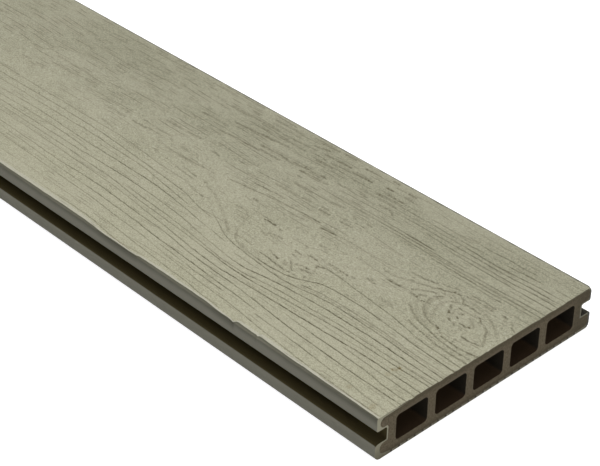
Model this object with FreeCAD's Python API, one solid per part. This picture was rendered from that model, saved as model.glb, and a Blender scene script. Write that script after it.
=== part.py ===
import FreeCAD, Part
import math
import os

# Hollow composite decking board, one length of stock lying flat. Millimetres.
# The section lies in Y (width) and Z (up) and is run along X. The origin is the
# middle of the underside, and "left" is the -Y edge.

# Driving dimensions: the board as sold
length = 2200.0
width = 140.0                # over the lower lips
thickness = 23.0

# Side grooves for the hidden fixing clips, and the lips above and below them
groove_depth = 6.8           # from the edge of the lower lip to the back of the groove
groove_height = 6.8
lower_lip = 8.9              # thickness of the lip under the groove
upper_lip_setback = 0.7      # the upper lip ends this far inside the lower one
groove_floor_radius = 0.5
groove_top_radius = 1.1

# Chambers
chamber_count = 5
chamber_height = 13.5
floor_wall = 5.0             # under the chambers
side_wall = 5.4              # between an outer chamber and the groove
web = 4.9                    # between two chambers
chamber_radius = 2.0

# Fine grooves along the underside
rib_count = 26
rib_pitch = 4.8
rib_width = 1.1
rib_depth = 0.9
rib_radius = 0.3

# Outer corners
left_top_radius = 0.8
right_top_radius = 1.6
left_lower_nose_radius = 2.1     # on top of the lower lip
right_lower_nose_radius = 1.3
left_bottom_radius = 3.4
right_bottom_radius = 2.2
upper_nose_radius = 0.9          # under both upper lips

# The cap layer's thickness over the core; at the lips it is thicker on the left
cap_top = 0.5
cap_groove = 0.7
cap_under = 1.2
left_cap_upper_nose = 2.0
right_cap_upper_nose = 0.7
left_cap_lower_nose = 2.8
right_cap_lower_nose = 1.0

# The core's lips: rounded noses, and corners that draw back from the board's faces
left_core_nose_radius = 2.6
right_core_nose_radius = 2.2
left_core_shoulder = 0.8     # drop of the core's top from the middle of the board to the lip
right_core_shoulder = 0.2
shoulder_run = 22.0
left_core_heel = 1.1         # rise of the core's underside out to the lower lip
right_core_heel = 0.3
heel_run = 5.0

# Worked out from the driving dimensions
half = width / 2
upper_half = half - upper_lip_setback
groove_back = half - groove_depth
groove_top = lower_lip + groove_height
chamber_span = 2 * (groove_back - side_wall)
chamber_width = (chamber_span - (chamber_count - 1) * web) / chamber_count
core_back = groove_back - cap_groove
core_top = thickness - cap_top


def point(y, z):
    return FreeCAD.Vector(-length / 2, y, z)


def face(corners):
    """A flat face across the board from (y, z, radius) corners, each one rounded."""
    edges = []
    arcs = []
    for i, (y, z, radius) in enumerate(corners):
        here = point(y, z)
        before = point(*corners[i - 1][:2]) - here
        after = point(*corners[(i + 1) % len(corners)][:2]) - here
        half_angle = before.getAngle(after) / 2
        before.normalize()
        after.normalize()
        reach = radius / math.tan(half_angle)
        inward = (before + after).normalize()
        crown = here + inward * (radius / math.sin(half_angle) - radius)
        arcs.append((here + before * reach, crown, here + after * reach))
    for i, (start, crown, end) in enumerate(arcs):
        edges.append(Part.Arc(start, crown, end).toShape())
        following = arcs[(i + 1) % len(arcs)][0]
        if end.distanceToPoint(following) > 0.001:
            edges.append(Part.makeLine(end, following))
    return Part.Face(Part.Wire(edges))


def mirrored(corners):
    return [(-y, z, radius) for y, z, radius in reversed(corners)]


def board_edge(bottom_radius, nose_radius, top_radius):
    """Corners of the board's edge, bottom to top: lower lip, groove and upper lip."""
    return [
        (half, 0, bottom_radius),
        (half, lower_lip, nose_radius),
        (groove_back, lower_lip, groove_floor_radius),
        (groove_back, groove_top, groove_top_radius),
        (upper_half, groove_top, upper_nose_radius),
        (upper_half, thickness, top_radius),
    ]


def core_edge(lower_nose, upper_nose, nose_radius, heel, shoulder):
    """Corners of the core's edge, bottom to top, given the cap at the noses of both lips."""
    lower = half - lower_nose
    upper = upper_half - upper_nose
    lip_top = lower_lip - cap_groove
    lip_bottom = groove_top + cap_groove
    return [
        (lower - nose_radius - heel_run, cap_under, 0.5),
        (lower - nose_radius, cap_under + heel, 0.5),
        (lower, cap_under + heel, nose_radius),
        (lower, lip_top, nose_radius),
        (core_back, lip_top, groove_floor_radius),
        (core_back, lip_bottom, groove_top_radius),
        (upper, lip_bottom, nose_radius),
        (upper, core_top - shoulder, nose_radius),
        (upper - shoulder_run, core_top, 0.5),
    ]


def run(section):
    return section.extrude(FreeCAD.Vector(length, 0, 0))


# Outline of the board, and the fine grooves along its underside
outline = face(board_edge(right_bottom_radius, right_lower_nose_radius, right_top_radius)
               + mirrored(board_edge(left_bottom_radius, left_lower_nose_radius, left_top_radius)))
ribs = []
for i in range(rib_count):
    middle = (i - (rib_count - 1) / 2) * rib_pitch
    left = middle - rib_width / 2
    right = middle + rib_width / 2
    ribs.append(face([
        (left, -rib_depth, rib_radius),
        (right, -rib_depth, rib_radius),
        (right, rib_depth, rib_radius),
        (left, rib_depth, rib_radius),
    ]))

# Outline of the core inside the cap, and the chambers side by side about the middle
core_outline = face(
    core_edge(right_cap_lower_nose, right_cap_upper_nose, right_core_nose_radius,
              right_core_heel, right_core_shoulder)
    + mirrored(core_edge(left_cap_lower_nose, left_cap_upper_nose, left_core_nose_radius,
                         left_core_heel, left_core_shoulder)))
ceiling = floor_wall + chamber_height
chambers = []
for i in range(chamber_count):
    left = -chamber_span / 2 + i * (chamber_width + web)
    right = left + chamber_width
    chambers.append(face([
        (left, floor_wall, chamber_radius),
        (right, floor_wall, chamber_radius),
        (right, ceiling, chamber_radius),
        (left, ceiling, chamber_radius),
    ]))

core = run(core_outline.cut(Part.makeCompound(chambers)))
cap = run(outline.cut(Part.makeCompound(ribs)).cut(core_outline))

os.makedirs("parts", exist_ok=True)
core.exportStep("parts/core.step")
cap.exportStep("parts/cap.step")
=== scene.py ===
"""A length of hollow composite decking board: dark core, embossed grey-green cap, lying on a pale floor."""

import math

import bmesh
import bpy
import numpy as np
from mathutils import Matrix, Vector
from mathutils.geometry import tessellate_polygon


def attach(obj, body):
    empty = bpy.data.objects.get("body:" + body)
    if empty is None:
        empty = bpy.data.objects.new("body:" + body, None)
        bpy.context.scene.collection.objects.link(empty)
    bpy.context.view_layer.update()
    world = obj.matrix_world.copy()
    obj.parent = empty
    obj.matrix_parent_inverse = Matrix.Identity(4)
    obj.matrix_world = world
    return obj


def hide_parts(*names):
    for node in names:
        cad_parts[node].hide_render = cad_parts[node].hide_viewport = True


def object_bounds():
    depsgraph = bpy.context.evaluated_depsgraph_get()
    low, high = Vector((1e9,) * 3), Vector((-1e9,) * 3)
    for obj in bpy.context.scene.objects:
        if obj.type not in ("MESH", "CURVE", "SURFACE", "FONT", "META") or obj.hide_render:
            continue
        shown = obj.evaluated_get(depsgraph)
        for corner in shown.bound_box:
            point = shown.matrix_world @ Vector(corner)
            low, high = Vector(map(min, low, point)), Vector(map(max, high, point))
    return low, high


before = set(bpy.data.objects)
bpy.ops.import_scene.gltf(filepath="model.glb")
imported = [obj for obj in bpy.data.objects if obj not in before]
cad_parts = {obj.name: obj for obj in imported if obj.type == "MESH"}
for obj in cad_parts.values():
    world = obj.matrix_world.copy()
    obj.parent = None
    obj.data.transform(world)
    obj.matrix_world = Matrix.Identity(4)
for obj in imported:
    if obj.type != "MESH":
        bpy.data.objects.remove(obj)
cad_low, cad_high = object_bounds()

MM = 0.001

# Section of the board, in millimetres, as the solids have it. Left is the -Y edge.
LENGTH = (cad_high[0] - cad_low[0]) / MM
HALF = (cad_high[1] - cad_low[1]) / MM / 2
THICKNESS = cad_high[2] / MM
NEAR_END = cad_high[0] / MM
UPPER_HALF = HALF - 0.7         # the upper lips end inside the lower ones
GROOVE_BACK = HALF - 6.8
GROOVE_FLOOR = 8.9
GROOVE_TOP = GROOVE_FLOOR + 6.8
GROOVE_FLOOR_RADIUS = 0.5
GROOVE_TOP_RADIUS = 1.1
UPPER_NOSE_RADIUS = 0.9         # under both upper lips
LEFT_LOWER_NOSE_RADIUS = 2.1
RIGHT_LOWER_NOSE_RADIUS = 1.3
LEFT_BOTTOM_RADIUS = 3.4
RIGHT_BOTTOM_RADIUS = 2.2
LEFT_TOP_RADIUS = 0.8
RIGHT_TOP_RADIUS = 1.0
WORN_TOP_RADIUS = 2.4           # of both top corners at the sawn ends
WORN_REACH = 1.5
CAP_TOP = 0.5
CAP_GROOVE = 0.7
CAP_UNDER = 1.2
CORE_TOP = THICKNESS - CAP_TOP
HEEL_RUN = 5.0
SHOULDER_RUN = 22.0
CHAMBERS = 5
CHAMBER_WIDTH = 19.2
WEB = 4.9
CHAMBER_FLOOR = 5.0
CHAMBER_CEILING = 18.5
CHAMBER_RADIUS = 2.0
RIBS = 26
RIB_PITCH = 4.8
RIB_WIDTH = 1.1
RIB_DEPTH = 0.9
RIB_RADIUS = 0.3
ARC_STEPS = 6
SAME_PLACE = 0.001


def rounded(corners):
    """Points round a closed outline of (y, z, radius) corners."""
    points = []
    for i, (y, z, radius) in enumerate(corners):
        here = np.array((y, z))
        before = np.array(corners[i - 1][:2]) - here
        after = np.array(corners[(i + 1) % len(corners)][:2]) - here
        before /= np.linalg.norm(before)
        after /= np.linalg.norm(after)
        half_angle = math.acos(max(-1, min(1, before @ after))) / 2
        bisector = (before + after) / np.linalg.norm(before + after)
        centre = here + bisector * radius / math.sin(half_angle)
        start = here + before * radius / math.tan(half_angle) - centre
        end = here + after * radius / math.tan(half_angle) - centre
        turn = math.atan2(start[0] * end[1] - start[1] * end[0], start @ end)
        count = max(1, round(ARC_STEPS * min(1, radius)))
        for k in range(count + 1):
            a = turn * k / count
            rotated = (start[0] * math.cos(a) - start[1] * math.sin(a),
                       start[0] * math.sin(a) + start[1] * math.cos(a))
            points.append((centre[0] + rotated[0], centre[1] + rotated[1]))
    return [p for p, last in zip(points, points[-1:] + points) if math.dist(p, last) > SAME_PLACE]


def mirrored(corners):
    return [(-y, z, radius) for y, z, radius in reversed(corners)]


def board_edge(bottom_radius, nose_radius, top_radius):
    """Corners of the board's edge, bottom to top: lower lip, groove and upper lip."""
    return [(HALF, 0, bottom_radius), (HALF, GROOVE_FLOOR, nose_radius),
            (GROOVE_BACK, GROOVE_FLOOR, GROOVE_FLOOR_RADIUS), (GROOVE_BACK, GROOVE_TOP, GROOVE_TOP_RADIUS),
            (UPPER_HALF, GROOVE_TOP, UPPER_NOSE_RADIUS), (UPPER_HALF, THICKNESS, top_radius)]


def core_edge(lower_nose, upper_nose, radius, heel, shoulder):
    """Corners of the core's edge, bottom to top, given the cap at the noses of both lips."""
    lower, upper = HALF - lower_nose, UPPER_HALF - upper_nose
    lip_top, lip_bottom = GROOVE_FLOOR - CAP_GROOVE, GROOVE_TOP + CAP_GROOVE
    back = GROOVE_BACK - CAP_GROOVE
    return [(lower - radius - HEEL_RUN, CAP_UNDER, 0.5), (lower - radius, CAP_UNDER + heel, 0.5),
            (lower, CAP_UNDER + heel, radius), (lower, lip_top, radius),
            (back, lip_top, GROOVE_FLOOR_RADIUS), (back, lip_bottom, GROOVE_TOP_RADIUS),
            (upper, lip_bottom, radius), (upper, CORE_TOP - shoulder, radius),
            (upper - SHOULDER_RUN, CORE_TOP, 0.5)]


def rib_corners():
    corners = []
    for i in range(RIBS):
        middle = (i - (RIBS - 1) / 2) * RIB_PITCH
        left, right = middle - RIB_WIDTH / 2, middle + RIB_WIDTH / 2
        corners += [(left, 0, 0), (left, RIB_DEPTH, RIB_RADIUS),
                    (right, RIB_DEPTH, RIB_RADIUS), (right, 0, 0)]
    return corners


core_outline = rounded(
    core_edge(lower_nose=1.0, upper_nose=0.7, radius=2.2, heel=0.3, shoulder=0.2)
    + mirrored(core_edge(lower_nose=2.8, upper_nose=2.0, radius=2.6, heel=1.1, shoulder=0.8)))

# The cap's outline from the left upper lip, under the board, to the right upper lip
LIP_SIDE_Z = 18.0
cap_outline = rounded(
    board_edge(RIGHT_BOTTOM_RADIUS, RIGHT_LOWER_NOSE_RADIUS, RIGHT_TOP_RADIUS)
    + mirrored(board_edge(LEFT_BOTTOM_RADIUS, LEFT_LOWER_NOSE_RADIUS, LEFT_TOP_RADIUS)) + rib_corners())
above = [i for i, (_, z) in enumerate(cap_outline) if z > LIP_SIDE_Z]
cap_lower = cap_outline[above[-1] + 1:] + cap_outline[:above[0]]


# Grain. Places are in millimetres: how far back from the near end, and across from the middle.
REPEAT = 600.0      # the embossing roller's pattern comes round again

# Long grain lines: back, across and strength of each point that a line is drawn through
LEFT_LINES = [
    (0, -75, 0, 150, -69, 0, 160, -68.4, .3, 170, -67.9, .6, 185, -67.1, .6, 190, -66.1, .8, 197, -65.2, .8,
     215, -64.7, .7, 232, -64.9, .5, 245, -64.3, .3, 340, -65, 0, 460, -70, 0),
    (0, -72, 0, 100, -67.3, 0, 104, -66.6, .5, 115, -66.1, .6, 120, -65.8, .6, 125, -64.7, .5, 140, -64.2, .6,
     150, -63.6, .5, 165, -62.7, .6, 180, -61.8, .6, 195, -60.7, .5, 205, -60.1, .4, 260, -59.6, .4,
     340, -60, .3, 460, -66, .3, 560, -70, 0),
    (0, -67.4, .3, 10, -67.2, .7, 20, -67.2, .7, 30, -66.7, .5, 50, -66.2, .6, 60, -65.2, .5, 75, -64.1, .6,
     85, -63, .7, 95, -61.9, .6, 105, -61.1, .6, 120, -60.4, .5, 140, -59.3, .5, 150, -58.4, .4,
     158, -57.4, .3, 168, -56.2, .6, 215, -53.5, .8, 250, -52.5, .7, 300, -51, .6, 420, -55, .6, 540, -64, .5),
    (0, -62.8, .4, 17, -62.3, .5, 23, -60.9, .6, 40, -60.5, .5, 55, -59.4, .8, 70, -58.8, .4, 86, -57.9, .7,
     90, -58, 0, 108, -57.2, 0, 113, -57, .8, 133, -56.8, .9, 140, -56, .2, 150, -55.2, .7, 158, -54.8, .5,
     164, -54.5, 0, 250, -50.5, .3, 420, -53, .5, 540, -61, .5),
    (0, -57.6, .3, 45, -56.6, .3, 60, -56.3, 0, 88, -56.3, 0, 92, -56, .5, 105, -54.6, .8, 120, -54.1, .9,
     150, -52.6, .9, 170, -51.8, .9, 190, -50.3, .7, 215, -49, .8, 250, -48.7, .7, 300, -46.2, .6,
     420, -49, .6, 540, -56, .4),
    (0, -55.5, .8, 20, -55.3, .9, 40, -54.8, .9, 65, -54, .9, 85, -52.3, .9, 105, -50.4, .9, 125, -49.8, .9,
     145, -48.6, .8, 160, -47, .7, 180, -45.8, .8, 200, -44.9, 1, 215, -44.2, 1, 250, -44.6, .8,
     300, -43.6, .7, 420, -46, .7, 540, -53.5, .8),
    (0, -52, .8, 15, -51.7, .8, 25, -50.2, .8, 40, -49.8, .9, 60, -49, .8, 75, -48.2, .5, 85, -48, 0,
     110, -48.3, 0, 200, -42.8, 0, 250, -41.5, .3, 420, -43, .5, 540, -50, .7),
    (0, -47.5, .7, 20, -46.8, .7, 42, -45.8, .6, 46, -45.7, 0, 110, -47.2, 0, 200, -41.8, 0, 300, -39.5, 0,
     420, -42, .3, 540, -46.5, .6),
    (0, -43.8, .9, 35, -43.2, .9, 60, -44.4, 1, 80, -45, 1, 110, -46.3, .9, 125, -46.9, 1, 145, -45.5, .8,
     160, -43.9, .7, 180, -42, .8, 200, -40.5, .6, 215, -39.3, .6, 250, -38.2, .8, 300, -37.3, .6,
     420, -39, .7, 540, -43, .9),
    (0, -41.4, .3, 30, -41.2, .4, 65, -41.5, .4, 74, -42.2, .2, 80, -42.8, .6, 86, -43, .2, 100, -44, .3,
     115, -44.8, .2, 150, -42.5, 0, 300, -35.8, .2, 540, -41, .3),
    (0, -38.5, .8, 55, -38.5, .8, 70, -39.7, .7, 90, -41, .8, 110, -43, .9, 125, -42.9, .9, 145, -41, .7,
     160, -39.9, .5, 180, -39, .7, 200, -37.6, .7, 215, -36, .8, 250, -34.6, .8, 300, -34.2, .7,
     420, -35.5, .7, 540, -38, .8),
    (0, -36.3, .7, 60, -36, .7, 85, -37.7, .8, 100, -39, .8, 115, -41.1, .9, 130, -41.1, .7, 150, -38.8, .6,
     170, -36.6, .7, 203, -34.6, .8, 212, -33.6, 0, 300, -32.6, .2, 420, -34, .4, 540, -36, .7),
    (0, -32.8, .9, 20, -32.6, 1, 45, -32, .9, 70, -32.3, .9, 90, -34, .8, 100, -35, .9, 110, -36.6, .9,
     118, -37.9, .9, 130, -37.5, .5, 150, -35.3, .4, 170, -32.3, .8, 190, -30.4, .9, 215, -29.9, 1,
     250, -30.7, .9, 300, -31, .8, 540, -32.5, .9),
    (0, -31.4, 0, 45, -30, 0, 90, -32.3, 0, 114, -34.2, 0, 117, -34.1, .5, 128, -33.8, .5, 131, -33.6, 0,
     190, -27.2, 0, 240, -28.2, 0, 250, -28, .8, 270, -26.8, .9, 300, -27, .8, 420, -29, .6, 540, -31, 0),
    (0, -30, .9, 20, -29.2, .9, 40, -28, .8, 65, -27.7, 1, 80, -28.7, .9, 90, -30.5, .8, 100, -31.4, 1,
     110, -31.2, .9, 120, -30.5, .7, 130, -29.2, .8, 140, -28, .7, 146, -26, .6, 150, -24.3, .7, 155, -22, .6,
     160, -20.1, .4, 165, -17.7, .3, 169, -16, 0, 300, -18, 0, 540, -28.5, 0, 570, -29.6, .8),
    (110, -34, 0, 139, -30.9, 0, 143, -30.3, .6, 148, -29.6, .6, 152, -29.2, .2, 158, -28.5, .4,
     166, -27.3, .8, 175, -25.8, .8, 185, -24.6, .9, 195, -23.6, 1, 205, -23.4, 1, 250, -23.4, .9,
     300, -22.4, .8, 420, -26, .8, 520, -28.5, .8, 550, -30, 0),
    (0, -27, .4, 20, -26.5, .5, 40, -25.5, .5, 65, -25, .6, 78, -25.8, .6, 82, -26.3, .9, 89, -27.8, .8,
     92, -28.3, 0, 155, -25.8, 0, 172, -23.2, 0, 177, -22.7, .5, 182, -21.8, .8, 195, -20, 1, 205, -18.8, .7,
     215, -17.2, .7, 250, -16.7, .8, 300, -16.9, .8, 420, -20, .5, 540, -26, .5),
    (0, -22.8, .9, 20, -22.2, .8, 40, -20.5, .8, 60, -19.2, 1, 80, -19.8, .8, 86, -21, .9, 92, -25, 1,
     100, -27.8, .9, 110, -28.7, .9, 118, -28.8, .9, 127, -28, .6, 130, -27.6, 0, 154, -23.6, 0,
     160, -22.4, .4, 164, -21.5, .7, 170, -20.5, .8, 178, -18.5, .7, 185, -16.9, .8, 192, -16.2, .9,
     205, -15.4, .9, 215, -14.8, .7, 250, -12.3, .9, 300, -12.2, .9, 420, -15, .7, 540, -21, .9),
    (0, -19, .7, 20, -18.5, .7, 30, -17, .7, 45, -14.5, .7, 65, -12.5, .7, 80, -11, .7, 91, -10.5, .8,
     93, -10.6, 0, 190, -10, 0, 196, -10, .7, 215, -9.7, .7, 235, -8, .7, 250, -7, .6, 300, -7.6, .8,
     420, -9, .5, 540, -17, .5),
]
RIGHT_LINES = [
    (0, 25.8, .5, 9, 26.2, .5, 12, 26.3, 0, 102, 26.1, 0, 104, 26.1, .8, 109, 25.8, .7, 111, 25.8, 0),
    (17, 29.2, 0, 20, 29.2, .7, 40, 29, .7, 55, 28.4, .4, 68, 28, .4, 75, 27.8, 0),
    (0, 31.5, .6, 20, 31.2, .7, 30, 31, .8, 62, 31.3, .7, 66, 31.4, .2, 120, 31, .3, 150, 28.5, .3,
     200, 28, .2),
    (0, 33.6, .8, 15, 33.7, .9, 20, 33.2, .8, 80, 33.3, .8, 95, 33.3, .4, 130, 33, .3, 200, 32, .1),
    (0, 36.3, .8, 15, 36.2, .8, 22, 35.7, .8, 50, 35.2, .9, 95, 35.4, .8, 125, 34.6, .6, 135, 34.4, .1,
     190, 35.8, 0, 195, 35.8, .5, 215, 35, .6, 223, 34.4, .5, 226, 34.3, 0),
    (8, 38.6, 0, 11, 38.7, .6, 22, 38.8, .6, 24, 38.8, 0, 47, 37, 0, 49, 37, .7, 57, 37.3, .6, 59, 37.4, 0,
     67, 37.3, 0, 69, 37.4, 1, 86, 37.4, 1, 90, 37.6, .6, 120, 37.3, .7, 135, 37, .5, 150, 36.8, 0),
    (0, 41.7, .8, 22, 41.5, .8, 40, 41.8, .8, 60, 41.5, .7, 66, 42, .3, 100, 41, 0, 129, 40.2, 0, 132, 40, .5,
     142, 40, .4, 146, 40, 0, 219, 40.4, 0, 222, 40.3, .7, 236, 40, .8, 240, 40, 0),
    (0, 44.8, .8, 12, 45.2, .9, 20, 44.8, .9, 24, 44.2, .8, 60, 43.9, .8, 80, 44.6, .7, 84, 44.8, 0,
     130, 44, .2, 180, 43.5, .3),
    (0, 48, .8, 10, 47.7, .9, 22, 47.7, .9, 30, 46.8, .9, 60, 46.9, .7, 95, 46.8, .6, 105, 46.4, 0,
     193, 47.4, 0, 196, 47.3, .6, 218, 46, .7, 221, 46, 0),
    (0, 51.2, .7, 20, 50.7, .9, 28, 49.8, .8, 40, 49.3, .9, 52, 49.3, .8, 66, 49.5, .6, 102, 49, .5,
     110, 49, .1),
    (15, 54.2, 0, 17, 54, .8, 24, 53.6, .9, 36, 53.2, .9, 38, 53.1, .2, 52, 52.8, .3, 54, 52.7, .7,
     64, 52.3, .7, 67, 52.2, 0, 70, 52, .7, 88, 52.3, .6, 95, 52, .8, 107, 52.1, .6, 120, 52, .7, 124, 52, 0),
    (0, 55, .6, 9, 55.1, .6, 11, 55.2, 0, 22, 57.6, 0, 24, 57.4, .8, 28, 56.8, .8, 38, 57.3, .8, 45, 56.7, .8,
     52, 56.3, .9, 58, 57, .7, 62, 56.8, .3, 66, 55.6, .6, 85, 55.5, .6, 88, 55.5, .1, 105, 55, .4,
     115, 55, .4, 117, 55, 0),
    (130, 58.2, 0, 132, 58, .6, 140, 57.4, .6, 146, 57.2, 0),
    (0, 60, .3, 30, 60.8, .4, 60, 60, .3, 64, 60, 0, 112, 59.6, 0, 115, 59.5, .5, 120, 59, .7, 123, 59, 0),
    (0, 63.3, .3, 20, 63, .4, 76, 63, .4, 80, 63, .1, 95, 65, .5, 120, 64.5, .3),
]

# Left margin of the grain: (back, how far out the embossing reaches, width of its rim of painted highlight,
# how strong the highlight is)
LEFT_MARGIN = [
    (0, 68.7, 1.1, .5), (20, 68.5, 1.2, .7), (35, 68.3, 1.2, .7), (50, 68.1, 1.4, .7), (60, 67.8, 1.8, .6),
    (74.3, 67.7, 1.8, .6), (75, 68.4, 1.5, .7), (76, 67.9, 1.5, .6), (88, 67.8, 1.5, .5),
    (89.5, 68.3, .6, .8), (90, 69.6, .5, 1), (91, 69.3, .5, 1), (93, 68.9, .6, 1), (97, 68.8, .7, .9),
    (103, 68.6, .9, .8), (110, 68.1, 1, .7), (120, 67.8, 1, .6), (140, 67.9, 1.5, .6), (148, 68.1, 1.2, .6),
    (157, 68.3, 1, .6), (158.5, 68.8, 1, .6), (165, 69, .8, .7), (175, 68.8, .8, .6), (186, 68.8, .8, .6),
    (192, 68.3, 1.5, .5), (200, 68, 2, .5), (250, 68, 2, .5), (310, 68.6, 1.5, .6), (380, 67.9, 1.8, .5),
    (450, 68.3, 1, .6), (520, 68.7, 1, .7), (600, 68.7, 1.1, .5)]
RIGHT_MARGIN = (UPPER_HALF - 1.3, 0.6, 0.2)     # the same but for back, all along the right

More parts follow.
